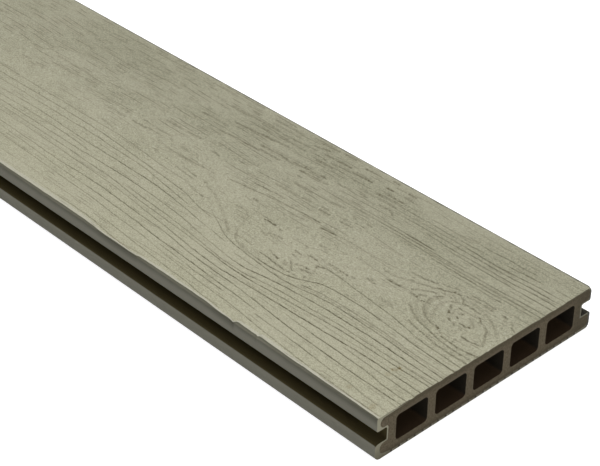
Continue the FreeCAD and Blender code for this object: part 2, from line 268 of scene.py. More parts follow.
# Short marks in and about the knots: strength, half width, then back and across of each point on the way
STROKES = [
    # over the big knot
    (.7, .7, 0, -15, 10, -15.3, 18, -15, 26, -13.5, 34, -12.2, 39, -10.8),
    (.7, .7, 1, -12.1, 8, -12.4, 16, -12, 20, -11.5, 24, -10.4, 30, -9.2, 36, -7.9),
    (.5, 1.1, 36, -7.9, 40, -6, 43, -4.2, 45, -2.8, 47, -1.5), (.9, .8, 2, -8.4, 5, -9.3),
    (.8, .7, -1, -7.6, 3, -8.7, 10, -9.7, 16, -9.1, 21, -8.8), (.4, .9, 22, -7.6, 24, -6.7),
    (.3, .8, 10, -6.2, 16, -6.2), (1, .9, 25.7, -5.6, 27.5, -5),
    (.5, 1.1, 29, -5.2, 32, -4.6, 36, -3, 39, -.8, 42, 2.3), (.5, .7, 51, -8.4, 58, -8.4),
    (.22, 1.2, 30, -8.2, 36, -6.4, 41, -3.4, 45, .6, 46.5, 3.5),
    (.26, 1.2, 33, -3.4, 37.5, -.6, 41, 3, 42, 6.5, 41.2, 10, 39.5, 12.5),
    # rings of the big knot
    (.5, 1, 3.8, -.7, 5, -.8), (.9, .7, 5.6, -1.6, 8, -2.3, 10.5, -2.8, 15, -2.5),
    (.45, 1, 4.5, 0, 5.6, 2.3, 8, 5.2), (.65, .9, 8, 5.2, 9.5, 8, 12.3, 10), (.8, .8, 15, 10.9, 18.5, 13.6),
    (.3, .9, 18, -3.2, 19.5, -1.2), (.5, .8, 17.5, .9, 19.5, 1), (.9, .8, 16.3, 5, 18, 4, 22, 4.2),
    (.35, 1.1, 15.5, 6.3, 18, 8, 21, 10), (.5, .7, 22.5, 1.2, 24, 2.4), (.9, .8, 26.3, 2.6, 27.8, 3.2),
    (.8, .8, 24.8, 6.2, 26.2, 6.8), (.9, .9, 25.3, 9.7, 26.8, 9.2), (.45, .8, 28.1, 4, 28.7, 6.3, 29.6, 9),
    (.9, .9, 30.4, 6.4, 31.6, 8), (.75, .9, 31.8, 9.2, 33.6, 11.2), (.4, .7, 20.5, 12.4, 26, 12.2),
    (.8, .7, 26.5, 12, 29.5, 12.1), (.75, .7, 20.3, 15.8, 28, 16.4, 31, 15.7),
    (.3, 1.2, 33.5, -1.5, 36, 3, 37.3, 5.5, 38, 9, 36.3, 12.6), (.6, .8, 35.6, 13.2, 33, 14.4),
    (.6, .7, 40.6, 4.9, 41.8, 4.6), (.9, .7, 43.2, 4.3, 45.2, 3.7), (.5, 1.3, 42.8, 5.3, 43.4, 8, 42.7, 10.3),
    (.8, .9, 42.9, 9.8, 42.2, 11.2), (.8, .8, 42, 12.2, 40.8, 13), (.6, 1, 48.6, 5.8, 47.6, 7.3, 46.2, 8),
    (1, .8, 48.3, 4.5, 52, 4.7), (.5, .7, 56, 4.8, 59, 4.7), (.9, .7, 59, 4.7, 62.5, 4.4, 66.5, 4.2),
    # lines running together behind the big knot
    (.45, 1.1, 54, 6.9, 51.5, 8.7, 48.5, 11), (.85, .8, 48, 11.3, 46, 12.6, 44, 13.1),
    (.5, .7, 42.2, 15, 40.8, 15.1), (.8, .6, 37.2, 15.5, 38.7, 15.6),
    (.8, .8, 35.5, 20.1, 39, 19.4, 41.5, 18), (.8, .8, 42.5, 17.3, 45, 17, 47, 15.6),
    (.55, .9, 47.5, 14.9, 51, 14.1, 54.5, 12.6, 59.5, 11.5), (.45, .9, 60, 10.4, 62.5, 9.8, 66, 8.7, 72, 8.6),
    (.8, .7, 48.5, 18.7, 52, 18, 55, 17.3, 58, 16.8), (.5, .8, 58, 16.8, 62.5, 16.5),
    (.7, .7, 38.8, 22.4, 41.3, 22.1), (.45, .7, 42, 21.2, 47.5, 20.5), (.6, .8, 31, 16.6, 32.2, 18.2, 34, 19),
    (.4, .9, 31.5, 14.7, 35, 15.8, 36.5, 16.8), (.4, .9, 3.6, 8.5, 6.4, 10.7, 9.5, 12.9),
    (.5, .9, 9.8, 13.5, 13, 15, 18, 17.2), (.3, .8, 18, 17.6, 25, 18.6, 31, 18.3), (.6, .7, 1, 17, 4.2, 18.3),
    (.35, .8, 2, 19.6, 6, 20.6), (.4, .8, 7.5, 17.4, 9.5, 17.9), (.35, .8, 8, 19.7, 10, 20.2),
    (.7, .7, 9.7, 21.8, 12.7, 22.7), (.55, .7, 18, 21.4, 25, 22, 33, 21.3),
    (.65, .7, 18, 23.7, 26, 24.1, 32, 23.5),
    # the small knot
    (.9, .7, 90.5, -10.4, 93, -11.2, 95, -12.4), (.9, .9, 95, -13.8, 96.2, -12.5),
    (.25, 1.1, 90, -23, 92, -20, 93.6, -16.6, 95, -14), (.3, .9, 87.5, -14.4, 88.8, -14.2),
    (.9, .7, 93.2, -23.3, 93.6, -21.9), (.5, .7, 96.6, -24.7, 98.8, -24.9),
    (.8, .8, 94.2, -18.6, 96.3, -19.1, 99.7, -19.9), (.9, 1, 96.7, -16.9, 98.3, -17.1),
    (.5, .7, 98.6, -16.6, 101, -17.2), (.8, .8, 101.2, -23.2, 102.6, -22.7),
    (.5, .9, 103, -22.2, 104.4, -20.9), (.8, .8, 105.4, -20, 106.4, -19.2),
    (.45, .8, 101, -17.6, 103.6, -18.9, 105, -20.2), (.45, .8, 106.2, -22.4, 108.2, -22.6),
    (.35, .8, 107, -21, 109, -20.8), (.8, .8, 112.2, -21.7, 114.5, -21.1, 117, -21),
    (.25, .9, 117, -21, 120.5, -19.3),
    (.8, .65, 101, -25.1, 104, -25.6, 112, -25.2, 115, -24.7, 122.5, -24.2),
    (.25, .8, 122.5, -25, 127, -24.8), (.7, .7, 108.2, -14.6, 110.6, -14.3),
    (.25, .9, 107, -17.6, 110, -17.3), (.75, .7, 107.4, -11.5, 112.2, -11.3),
    (.35, .8, 103, -10.8, 105, -10.4), (.75, .7, 98.5, -9.4, 104.5, -9), (.8, .7, 81, -7.2, 86, -7.2),
    (.6, .8, 87.5, -6.8, 94, -7), (.3, .8, 96, -6.8, 102, -6.6), (.4, .8, 109.3, -5.3, 112, -4.8),
    (.6, .8, 123, -9, 126, -9), (.4, .9, 126, -9.4, 131, -10.5), (.4, .8, 130, -12.9, 134.5, -12),
    (.5, .9, 128, -4.8, 130, -4.5), (.3, .8, 103.5, 0, 108, .7),
    # arches behind the small knot
    (.4, .8, 129, -23.1, 134.5, -22.8), (.25, 1, 132, -19.1, 140, -18.8),
    (.4, 1, 130, -27.6, 135, -26.9, 138, -25.4, 140, -23.4, 142.8, -20.6),
    (.22, 1.3, 142.8, -20.6, 144.5, -18, 145.3, -14, 147, -10.6, 149.5, -8, 153, -5),
    (.45, 1, 144.5, -24.3, 150, -20.6, 155, -17.2),
    (.22, 1.4, 155, -17.2, 160, -14.6, 165, -12, 168, -10.3, 172, -8.3, 178, -6.3),
    (.45, .9, 178, -6.3, 182.5, -5.7), (.25, .9, 148, -15, 151, -14), (.35, .8, 148, -11, 152, -11),
    (.45, .8, 154.5, -6, 160, -6), (.6, .8, 176, -13.3, 179, -12.8),
    (.3, .8, 182, -12.1, 187, -11.5, 192, -10.5), (.6, .9, 184, -3.8, 186, -3.5),
    (.45, .8, 192, -6.2, 200, -5.7, 206.5, -4.9), (.65, .7, 192, -3.7, 196, -3.5),
    (.4, .8, 198, -2.9, 203.5, -2.5),
]

# Dashes between the knots and the right-hand lines, and over the right half, by strength and half width
DASHES = {
    (.3, .7): [(65, 14.2, 72, 13.4, 82, 12.6, 100, 12.5, 108, 12)],
    (.5, .7): [(128, 9.5, 137, 8.3), (148, 15.4, 155, 15)],
    (.6, .7): [(134, 12.8, 147, 11.6, 158, 10.2, 170, 8.5, 180, 6.9)],
    (.7, .7): [(68, -2.6, 73.5, -2.2)],
    (.8, .7): [(121, 13.4, 134, 12.8), (157, 14.8, 168, 14)],
    (1, .7): [(133.5, -3.9, 141, -3.9), (108, 11.9, 113, 11.3, 118, 10.6)],
    (.25, .8): [(155, 2, 163, 2.5)],
    (.3, .8): [(145, 22, 162, 21), (74, 22.5, 88, 22.2), (80, 6.3, 88, 5.9)],
    (.4, .8): [(170, 17.8, 178, 18)],
    (.5, .8): [(77, -6.6, 79, -6.4), (188, 5, 191, 4.7), (195, 4.3, 203, 3.8)],
    (.4, .9): [(112, 49.1, 130, 49), (112, 63.1, 118, 62.9)],
    (.5, .9): [(212, 3.2, 224, 3.2), (108, 22, 115, 21.2), (133, 20.5, 135, 20.2), (126, 23.8, 130, 23.8),
        (112, 28.3, 114, 29), (152, 42.2, 159, 42.2)],
    (.6, .9): [(123, 21.4, 129.5, 21.2), (155, 4, 158, 4.2), (105, 49.3, 111, 49.3)],
    (.7, .9): [(111, 55, 116, 55.1), (134, 57, 143, 56.7)],
    (.8, .9): [(106, 55.1, 109, 55.1)],
    (.35, 1): [(206, 9.5, 208, 9.6)],
    (.4, 1): [(230, 3.8, 233, 4.8), (203, 40.4, 206, 40.3), (136, 51.6, 139, 52.3)],
    (.45, 1): [(137, 22.9, 143, 22.1), (132, 44.4, 140, 43.8)],
    (.5, 1): [(234, 8.6, 245, 8.5), (229, 12, 235, 11.6, 241, 11.6), (223, -2.8, 227, -2),
        (146, 21.8, 160, 21), (102, 29.2, 105, 29.4), (123, 30.8, 130, 30),
        (143, 28.8, 148, 28.4, 155, 28.6), (143, 39.4, 148, 39.2), (149, 39.5, 157, 39),
        (102, 43.6, 106, 46), (107, 45.8, 113, 45.6), (122, 45.7, 126, 45.5), (152, 52, 163, 51.2),
        (144, 56, 156, 54.9), (160, 54.8, 162, 54.8), (131, 64.3, 136, 64.2), (150, 66, 158, 65.8),
        (170, 57.5, 173, 57.6), (173, 53.3, 192, 52.8), (198, 52.6, 206, 52.4), (225, 40.5, 232, 40.4),
        (194, 66, 199, 65.8)],
    (.55, 1): [(105, 60, 109, 59.6)],
    (.6, 1): [(199, 17.5, 205, 18), (215, 9.6, 219, 9.5), (226, 9.3, 229, 10), (157, 34.3, 159, 34.3),
        (163, 41.5, 170, 41.3), (180, 41, 189, 40.7), (157, 58.6, 164, 58.5), (161, 65.5, 173, 64.7),
        (164, 62, 169, 61.7), (169, 61, 174, 60.2), (200, 35.8, 213, 35.3), (180, 56.8, 192, 56.2),
        (218, 21.5, 229, 21.4)],
    (.7, 1): [(146, 59.1, 155, 58.8), (105, 63.4, 110, 63.3), (119, 66, 123, 66), (137, 64, 140, 63.8)],
    (.8, 1): [(203, 3.5, 212, 3.5), (160, 42, 162.5, 41.8), (117, 52, 121, 52), (117, 59.3, 121, 59.2)],
    (.9, 1): [(130, 57.4, 134, 57.2)],
    (.35, 1.1): [(238, 56.4, 250, 56.3), (183, 60, 205, 60)],
    (.45, 1.1): [(238, 64.7, 258, 64.4)],
    (.5, 1.1): [(273, 6.2, 275.5, 5.8), (249, 11.8, 253, 12.2), (195, 56.5, 213, 56.4),
        (185, 63.4, 198, 63.3), (217, 62.8, 228, 62.5)],
    (.55, 1.1): [(260, -4.6, 269, -3.4)],
    (.6, 1.1): [(261, 6.7, 268, 6.6), (263, 11.3, 270, 11), (176, 37.3, 190, 37.3), (219, 40.2, 223, 40.6),
        (181, 49.4, 192, 48.6), (213, 56.3, 233, 56.3), (216, 60, 221, 60.1), (232, 20.7, 245, 20.4)],
    (.7, 1.1): [(157, 38.8, 162, 38.6), (148, 42.8, 151, 42.9), (201, 47.3, 210, 46.8), (200, 63.1, 207, 63)],
    (.8, 1.1): [(246, 7.6, 256, 7.2), (173, 40.9, 178, 41), (190, 40.3, 193, 40.2), (190, 36.2, 200, 35.8),
        (214, 34.6, 219, 34.9), (233, 40, 239, 39.6), (192, 47.9, 201, 47.9), (210, 46.4, 219, 45.8)],
    (.4, 1.2): [(273, 11.2, 284, 11.2), (294, 10.3, 300, 9.9), (270, 15.8, 280, 16), (298, 19.6, 307, 20),
        (354, 18.2, 361, 19), (250, 24, 255, 25.4), (258, 35.7, 270, 35), (237, 45, 240, 46),
        (248, 45.3, 255, 45.2), (266, 51.6, 270, 51.8)],
    (.45, 1.2): [(265, 47, 270, 46.7), (267, 58.5, 269, 60.5)],
    (.5, 1.2): [(282, 15.5, 288, 16.4), (298, 15.6, 308, 15.8), (311, 15.2, 316, 16), (322, 15.1, 332, 15.4),
        (307, 20.4, 330, 20.6, 340, 20), (333, 7.2, 341, 7.3), (345, 6.9, 353, 7.1),
        (250, 60.5, 257, 60.3), (236, 33.6, 240, 34.5)],
    (.35, 1.3): [(320, 33.2, 329, 32.8), (341, 59.2, 350, 58.8), (308, 61.6, 316, 61.4)],
    (.4, 1.3): [(275, 36.8, 285, 36.6), (286, 36, 295, 36.2), (283, 55.2, 287, 54.8), (315, 54.4, 322, 54.2),
        (330, 38.6, 334, 39.4), (344, 50.8, 349, 51.6)],
    (.45, 1.3): [(298, 50.6, 308, 50)],
    (.5, 1.3): [(303, 37.4, 311, 38.3), (330, 51.5, 336, 51.2), (333, 60, 338, 60)],
}

# Brown stains: (back, across, size, strength)
STAINS = [(18.8, -41.3, 1.1, .8), (17.6, -40.4, .9, .9), (17.6, -38.4, 1.3, 1), (15.8, -38.6, .8, .8),
          (18, -45, 2.2, .25), (7, -65.4, 2.2, .4), (7.8, -63.4, 1.6, .35), (23, -63, 2, .25)]

def smoothstep(low, high, value):
    t = np.clip((value - low) / (high - low), 0, 1)
    return t * t * (3 - 2 * t)


class LineNoise:
    """Smooth random values along each grain line, the same on every run."""

    def __init__(self, seed, cell, lines=64, cells=400):
        self.cell = cell
        self.values = np.random.default_rng(seed).random((lines, cells))

    def at(self, line, back):
        place = np.mod(back / self.cell + 3.7 * line, self.values.shape[1] - 1)
        index = place.astype(int)
        blend = smoothstep(0, 1, place - index)
        row = np.mod(line.astype(int), self.values.shape[0])
        near = self.values[row, index]
        far = self.values[row, index + 1]
        return near + (far - near) * blend


dash_noise = LineNoise(11, 4.0)
run_noise = LineNoise(12, 45.0)
wander_noise = LineNoise(13, 22.0)
fine_noise = LineNoise(15, 8.0)
edge_noise = LineNoise(16, 9.0)
chip_noise = LineNoise(17, 1.6)

WANDER = 0.5            # how far a long line strays from where it is drawn
SMOOTHING = 15          # millimetres of a long line that are averaged
UNMARKED = 0.02         # a weaker line leaves its place to its neighbours
FINE_PITCH = 2.9
FINE_STRENGTH = 0.35
DENSE_STRENGTH = 0.22   # added to the fine lines where they are dense
MARK_DEPTH = 0.3
STROKE_SHARE = 0.6      # of that depth, in a short mark
CHIP_DEPTH = 0.4        # of the nicks along the sawn edge
MARK_REACH = 1.3        # a line has no strength further off than this
STROKE_REACH = 3.0      # nor has a short mark, in half widths of it


class Lines:
    """Grain lines that don't cross, each known at every millimetre of the repeat."""

    def __init__(self, drawn, first_key, fade):
        back = np.arange(REPEAT)
        kernel = np.hanning(SMOOTHING) / np.hanning(SMOOTHING).sum()
        overlap = SMOOTHING // 2
        self.places = []
        self.strengths = []
        for line in drawn:
            x, y, strength = (line[i::3] for i in range(3))
            place = np.interp(back, x, y, period=REPEAT)
            ring = np.concatenate((place[-overlap:], place, place[:overlap]))
            self.places.append(np.convolve(ring, kernel, "valid"))
            self.strengths.append(np.interp(back, x, strength, period=REPEAT))
        self.places = np.array(self.places)
        self.strengths = np.array(self.strengths) * np.interp(back, *zip(*fade))
        self.slopes = np.gradient(self.places, axis=1)
        self.keys = first_key + np.arange(len(drawn))

    def row(self, back):
        """Place across, strength and slope of every line on the row that far back."""
        place = back % REPEAT
        low = int(place) % int(REPEAT)
        high = (low + 1) % int(REPEAT)
        share = place - int(place)
        y, strength, slope = (table[:, low] * (1 - share) + table[:, high] * share
                              for table in (self.places, self.strengths, self.slopes))
        along = np.full(len(y), float(back))
        y = y + WANDER * (wander_noise.at(self.keys, along) - 0.5)
        strength = strength * (0.8 + 0.2 * smoothstep(0.15, 0.5, dash_noise.at(self.keys, along)))
        strength = strength * (0.85 + 0.15 * smoothstep(0.1, 0.5, run_noise.at(self.keys, along)))
        return y, strength, slope


# Each fade is how strong the lines are at that distance back
left_lines = Lines(LEFT_LINES, 0, [(0, 1), (120, 0.95), (200, 0.8), (300, 0.6), (460, 0.7), (600, 1)])
right_lines = Lines(RIGHT_LINES, 30, [(0, 0.9), (100, 0.85), (125, 0.5), (400, 0.4), (470, 0.7), (600, 0.9)])

# The short marks grow fainter and narrower further back
stroke_ends = []
dashes = [(*looks, *places) for looks, group in DASHES.items() for places in group]
for mark_strength, half_width, *places in STROKES + dashes:
    points = list(zip(places[::2], places[1::2]))
    mark_strength *= np.interp(places[0], (150, 280), (1, 0.6))
    half_width *= np.interp(places[0], (150, 280), (1, 0.8))
    for start, end in zip(points, points[1:]):
        stroke_ends.append((*start, *end, half_width, mark_strength))
stroke_ends = np.array(stroke_ends)


def nearest_line(y, lines):
    """Signed distance to the nearest of the lines, and the strength of the mark there."""
    places, strengths, slopes = lines
    off = (y[:, None] - places[None, :]) / np.sqrt(1 + slopes ** 2)
    order = np.abs(off) + 5 * (strengths < UNMARKED)
    nearest = np.argmin(order, axis=1)
    off = off[np.arange(len(y)), nearest]
    return off, strengths[nearest] * (np.abs(off) < MARK_REACH)


def nearest_stroke(back, y):
    """Distance to the nearest short mark in half widths of it, and its strength."""
    x0, y0, x1, y1, width, weight = stroke_ends.T
    reach = STROKE_REACH * width
    close = (np.minimum(x0, x1) < back + reach) & (np.maximum(x0, x1) > back - reach)
    if back > NEAR_ZONE or not close.any():
        return np.full(len(y), STROKE_REACH), np.zeros(len(y))
    x0, y0, x1, y1, width, weight = stroke_ends[close].T
    run_x, run_y = x1 - x0, y1 - y0
    from_x, from_y = back - x0[None, :], y[:, None] - y0[None, :]
    share = np.clip((from_x * run_x + from_y * run_y) / (run_x ** 2 + run_y ** 2), 0, 1)
    distance = np.hypot(from_x - share * run_x, from_y - share * run_y) / width
    nearest = np.argmin(distance, axis=1)
    off = np.minimum(distance[np.arange(len(y)), nearest], STROKE_REACH)
    return off, weight[nearest] * (off < STROKE_REACH)


def fine_lines(back, y):
    """Signed distance to the nearest of the evenly spaced fine lines, and its strength."""
    number = (y + 0.8 * math.sin(back / 24) + 0.4 * math.sin(back / 9)) / FINE_PITCH + 40
    line = np.round(number)
    dense = smoothstep(0, 20, y) * np.interp(back % REPEAT, (70, 130, 400, 470), (0, 1, 1, 0))
    strength = smoothstep(0.5 - 0.2 * dense, 0.95 - 0.15 * dense,
                          fine_noise.at(line, np.full(len(y), float(back))))
    return (number - line) * FINE_PITCH, strength * (FINE_STRENGTH + DENSE_STRENGTH * dense)


def margin_row(back, y, z):
    """How far each place is inside the embossing's margin and its rim of painted highlight, and how strong
    that highlight is.
    """
    left_back, *left = zip(*LEFT_MARGIN)
    out, width, pale = (np.where(y < 0, np.interp(back % REPEAT, left_back, values), right)
                        for values, right in zip(left, RIGHT_MARGIN))
    ragged = edge_noise.at(np.zeros(2), np.array((back, back * 2.3))) - 0.5
    out = out + np.where(y < 0, 0.3 * ragged[0], 0.5 * ragged[1])
    inside = out - np.abs(y) - (THICKNESS - z)
    return inside, inside - width, pale


def stain_row(back, y):
    stain = np.zeros(len(y))
    for stain_back, stain_y, size, strength in STAINS:
        here = strength * smoothstep(size, 0.3 * size, np.hypot(back - stain_back, y - stain_y))
        stain = np.maximum(stain, here)
    return stain


LAYERS = [f"{kind}_{part}" for kind in ("first", "second", "stroke", "fine") for part in ("off", "strength")]
LAYERS += ["margin_off", "rim_off", "pale", "stain"]


def grain_row(back, y, z, share):
    """Every grain value on one row across the board; share is 1 on the top and 0 on the lips' sides."""
    left, right = left_lines.row(back), right_lines.row(back)
    pairs = []
    for turn in (0, 1):
        every_other = [np.concatenate((a[turn::2], b[turn::2])) for a, b in zip(left, right)]
        pairs.append(nearest_line(y, every_other))
    pairs += [nearest_stroke(back, y), fine_lines(back, y)]
    values = [v for off, strength in pairs for v in (off, strength * share)]
    return dict(zip(LAYERS, (*values, *margin_row(back, y, z), stain_row(back, y))))


def mark_depth(values):
    """Depth of the embossed marks, in millimetres."""
    depth = STROKE_SHARE * values["stroke_strength"] * smoothstep(1.1, 0.2, values["stroke_off"])
    for name in ("first", "second"):
        mark = values[name + "_strength"] * smoothstep(0.7, 0.1, np.abs(values[name + "_off"]))
        depth = np.maximum(depth, mark)
    return MARK_DEPTH * depth


# Geometry
NEAR_ZONE = 400.0       # the part with fine columns and rows, and with the short marks
NEAR_ROWS = ((0, 80, 0.75), (80, 170, 1.0), (170, NEAR_ZONE + 1, 2.0))      # from, to, step
NEAR_COLUMNS = 224
FAR_COLUMNS = 56
FAR_STEP = 8.0
OUTSIDE = -6.0          # the margin's value on all but the top
SHARP_ANGLE = 32        # degrees


def object_from_faces(name, verts, faces):
    mesh = bpy.data.meshes.new(name)
    mesh.from_pydata(verts, [], faces)
    mesh.validate()
    obj = bpy.data.objects.new(name, mesh)
    bpy.context.scene.collection.objects.link(obj)
    return obj


def top_profile(columns, right_radius=RIGHT_TOP_RADIUS):
    """Columns over the top, left lip side to right: (y, z, outward y, outward z, share of the grain)."""
    profile = []
    for side, radius in ((-1, LEFT_TOP_RADIUS), (1, right_radius)):
        half = [(side * UPPER_HALF, LIP_SIDE_Z, side, 0.0, 0.0)]
        for k in range(ARC_STEPS + 1):
            a = math.pi / 2 * k / ARC_STEPS
            oy, oz = side * math.cos(a), math.sin(a)
            half.append((side * (UPPER_HALF - radius) + radius * oy, THICKNESS - radius + radius * oz,
                         oy, oz, k / ARC_STEPS))
        profile.append(half)
    left, right = profile
    flat_left, flat_right = left[-1][0], right[-1][0]
    middle = [(flat_left + (flat_right - flat_left) * k / columns, THICKNESS, 0.0, 1.0, 1.0)
              for k in range(1, columns)]
    return np.array(left + middle + right[::-1])


def add_outline(verts, outline):
    """Add an outline at both ends of the board, and give its vertices' numbers at each."""
    loops = []
    for back in (0, LENGTH):
        first = len(verts)
        verts.extend(((NEAR_END - back) * MM, y * MM, z * MM) for y, z in outline)
        loops.append(list(range(first, len(verts))))
    return loops


def wall_faces(near, far, closed=True):
    """Faces along the board between the near and the far loop of an outline."""
    count = len(near)
    return [(near[k], far[k], far[(k + 1) % count], near[(k + 1) % count])
            for k in range(count if closed else count - 1)]


def end_faces(verts, loops):
    """Triangles over a sawn end, given the loop round it and the loops of its holes."""
    indices = [i for loop in loops for i in loop]
    shapes = [[Vector(verts[i]).yz.to_3d() for i in loop] for loop in loops]
    return [tuple(indices[i] for i in triangle) for triangle in tessellate_polygon(shapes)]


def strip_faces(row, following, key, following_key):
    """Faces between two rows across the board, also where one has fewer columns."""
    if len(row) == len(following):
        return [(row[c], following[c], following[c + 1], row[c + 1]) for c in range(len(row) - 1)]
    faces = []
    i, j = 0, 0
    while i < len(row) - 1 or j < len(following) - 1:
        if j == len(following) - 1 or (i < len(row) - 1 and key[i + 1] <= following_key[j + 1]):
            faces.append((row[i], following[j], row[i + 1]))
            i += 1
        else:
            faces.append((row[i], following[j], following[j + 1]))
            j += 1
    return faces


def build_cap():
    verts = []
    layers = {name: [] for name in LAYERS}
    rows = []
    near = [(back, NEAR_COLUMNS) for zone in NEAR_ROWS for back in np.arange(*zone)]
    far_count = int((LENGTH - NEAR_ZONE) / FAR_STEP)
    far = [(back, FAR_COLUMNS) for back in np.linspace(NEAR_ZONE, LENGTH, far_count + 1)[1:]]
    for back, columns in near + far:
        wear = smoothstep(WORN_REACH, 0, min(back, LENGTH - back))
        profile = top_profile(columns) * (1 - wear) + top_profile(columns, WORN_TOP_RADIUS) * wear
        y, z, out_y, out_z, share = profile.T
        values = grain_row(back, y, z, share)
        depth = mark_depth(values)
        if back == 0:
            chips = smoothstep(0.45, 0.8, chip_noise.at(np.zeros(len(y)), y + HALF))
            depth = np.maximum(depth, CHIP_DEPTH * share * chips)
        rows.append(list(range(len(verts), len(verts) + len(y))))
        verts.extend(((NEAR_END - back) * MM, b * MM, c * MM)
                     for b, c in zip(y - out_y * depth, z - out_z * depth))
        for name in LAYERS:
            layers[name].extend(values[name])

    # the top, its rows joined in the order of their columns from left to right
    keys = {}
    for columns in (NEAR_COLUMNS, FAR_COLUMNS):
        profile = top_profile(columns)
        keys[len(profile)] = profile[:, 0] - profile[:, 2]
    faces = []
    for row, following in zip(rows, rows[1:]):
        faces += strip_faces(row, following, keys[len(row)], keys[len(following)])

    # the plain rest of the outline
    near_lower, far_lower = add_outline(verts, cap_lower)
    faces += wall_faces(far_lower, near_lower, closed=False)
    faces.append([row[0] for row in rows] + [far_lower[0], near_lower[0]])
    faces.append([row[-1] for row in reversed(rows)] + [near_lower[-1], far_lower[-1]])

    # inside of the cap and its sawn ends
    near_inner, far_inner = add_outline(verts, core_outline)
    faces += wall_faces(near_inner, far_inner)
    faces += end_faces(verts, (rows[0] + near_lower[::-1], near_inner))
    faces += end_faces(verts, (rows[-1] + far_lower[::-1], far_inner))
    cap = object_from_faces("cap_skin", verts, faces)
    for name, values in layers.items():
        full = np.full(len(verts), OUTSIDE if name == "margin_off" else 0.0, np.float32)
        full[:len(values)] = values
        cap.data.attributes.new(name, "FLOAT", "POINT").data.foreach_set("value", full)
    return cap


def build_core():
    verts = []
    faces = []
    outlines = [core_outline]
    span = CHAMBERS * CHAMBER_WIDTH + (CHAMBERS - 1) * WEB
    for i in range(CHAMBERS):
        left = -span / 2 + i * (CHAMBER_WIDTH + WEB)
        right = left + CHAMBER_WIDTH
        outlines.append(rounded([
            (left, CHAMBER_FLOOR, CHAMBER_RADIUS), (right, CHAMBER_FLOOR, CHAMBER_RADIUS),
            (right, CHAMBER_CEILING, CHAMBER_RADIUS), (left, CHAMBER_CEILING, CHAMBER_RADIUS)]))
    loops = [add_outline(verts, outline) for outline in outlines]
    for near, far in loops:
        faces += wall_faces(near, far)
    for end in zip(*loops):
        faces += end_faces(verts, end)
    return object_from_faces("core_body", verts, faces)


def finish_mesh(mesh):
    """Turn the faces outward, and smooth all but the sharp edges."""
    bm = bmesh.new()
    bm.from_mesh(mesh)
    bmesh.ops.recalc_face_normals(bm, faces=bm.faces)
    bm.to_mesh(mesh)
    bm.free()
    for polygon in mesh.polygons:
        polygon.use_smooth = True
    mesh.set_sharp_from_angle(angle=math.radians(SHARP_ANGLE))


